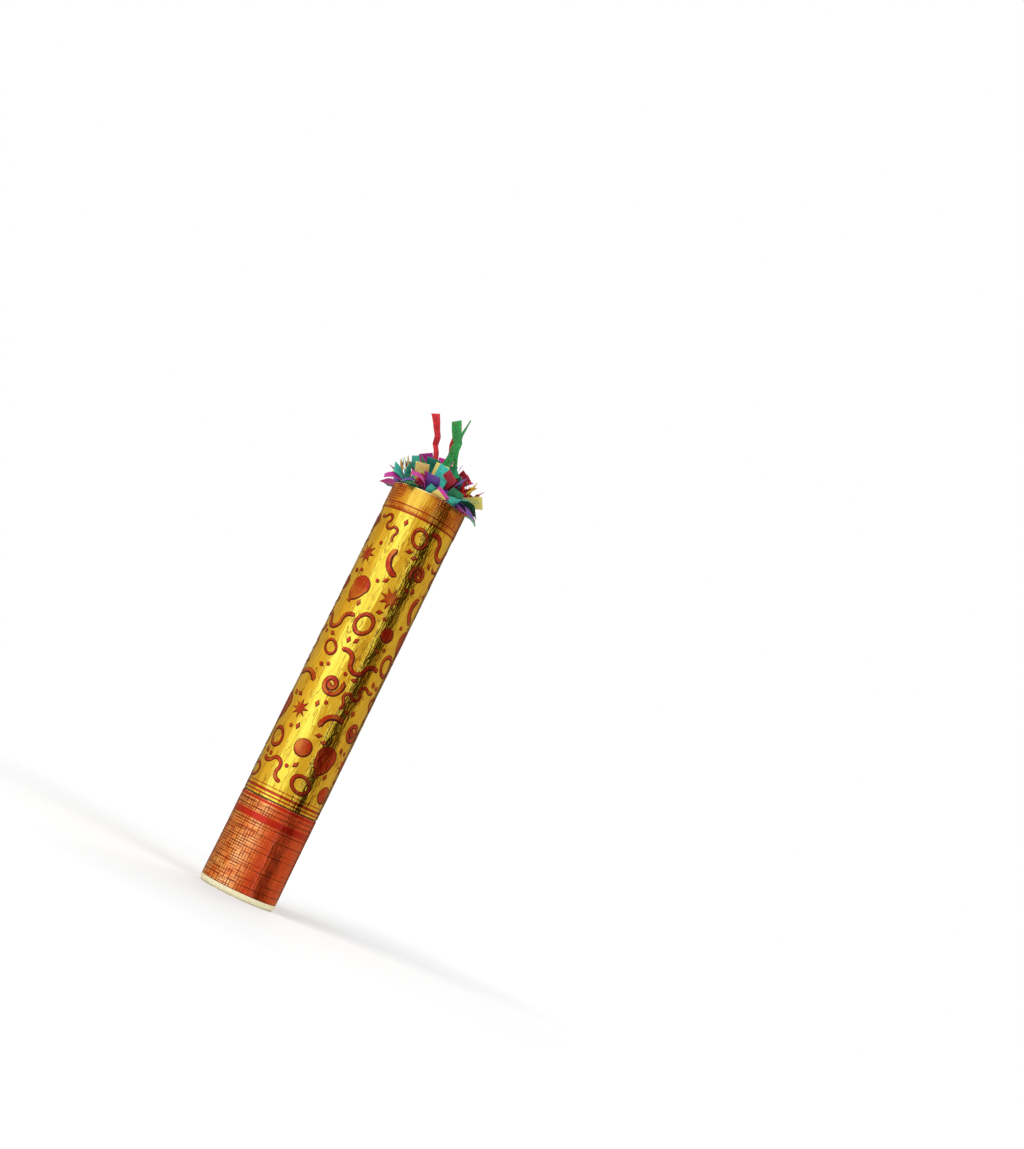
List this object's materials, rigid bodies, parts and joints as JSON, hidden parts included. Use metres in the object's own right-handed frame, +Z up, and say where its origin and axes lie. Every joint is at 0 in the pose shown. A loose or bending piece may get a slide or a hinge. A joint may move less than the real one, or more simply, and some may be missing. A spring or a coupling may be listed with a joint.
{
  "type": "confetti popper",
  "caption": "Handheld twist-to-fire confetti popper: a printed card barrel turns on a short grip, opens an air bottle and drives a wad and paper load out of the mouth.",
  "frame": {"origin": "centre of the base cap's underside, on the surface that the popper stands on", "axes": "+Z up the barrel to the mouth, +X along the cross pin"},
  "size_m": [0.0515, 0.0514, 0.3358],
  "materials": {
    "cream_plastic": "gloss moulded",
    "tube_card": "spiral-wound card",
    "red_film": "metallised printed film, gloss",
    "gold_film": "metallised printed film, gloss",
    "black_plastic": "moulded",
    "white_plastic": "moulded",
    "bottle_metal": "spun",
    "black_rubber": "moulded",
    "pin_steel": "ground",
    "wad_foam": "closed-cell foam",
    "paper_mixed": "tissue paper, many colours",
    "paper_red": "tissue paper",
    "paper_yellow": "tissue paper",
    "paper_green": "tissue paper",
    "paper_teal": "tissue paper",
    "paper_purple": "tissue paper",
    "paper_magenta": "tissue paper",
    "star_foil": "metallised foil"
  },
  "bodies": {
    "grip": {"base_cap": "cream_plastic", "grip_tube": "tube_card", "grip_film": "red_film", "slip_washer": "black_plastic", "coupler": "black_plastic", "air_bottle": "bottle_metal", "fill_valve": "black_rubber", "bottle_bands": "black_rubber", "neck_gasket": "black_rubber", "valve_tower": "white_plastic", "crimp_ferrule": "bottle_metal"},
    "bung": {"bung_stem": "white_plastic", "bung_seal": "black_rubber", "cross_pin": "pin_steel"},
    "barrel": {"barrel_tube": "tube_card", "barrel_film": "gold_film", "muzzle_band": "gold_film", "retaining_ring": "black_plastic", "bulkhead": "white_plastic", "cam_sleeve": "white_plastic"},
    "load": {"wad_board": "tube_card", "wad_foam": "wad_foam", "streamer_rolls": "paper_yellow", "confetti_pack": "paper_mixed", "slips_red": "paper_red", "slips_yellow": "paper_yellow", "slips_green": "paper_green", "slips_teal": "paper_teal", "slips_purple": "paper_purple", "slips_magenta": "paper_magenta", "foil_stars": "star_foil", "streamers_green": "paper_green", "streamers_red": "paper_red"}
  },
  "joints": [
    {"name": "barrel_twist", "type": "hinge", "parent": "grip", "child": "barrel", "pos_m": [0, 0, 0.062], "axis": [0, 0, 1], "range_deg": [0, 60]},
    {"name": "bung_lift", "type": "slide", "parent": "grip", "child": "bung", "axis": [0, 0, 1], "range_m": [0, 0.01001]},
    {"name": "load_eject", "type": "slide", "parent": "barrel", "child": "load", "axis": [0, 0, 1], "range_m": [0, 0.17]}
  ],
  "couplings": [
    {"joint": "bung_lift", "follows": "barrel_twist", "m_per_rad": 0.0095493}
  ]
}
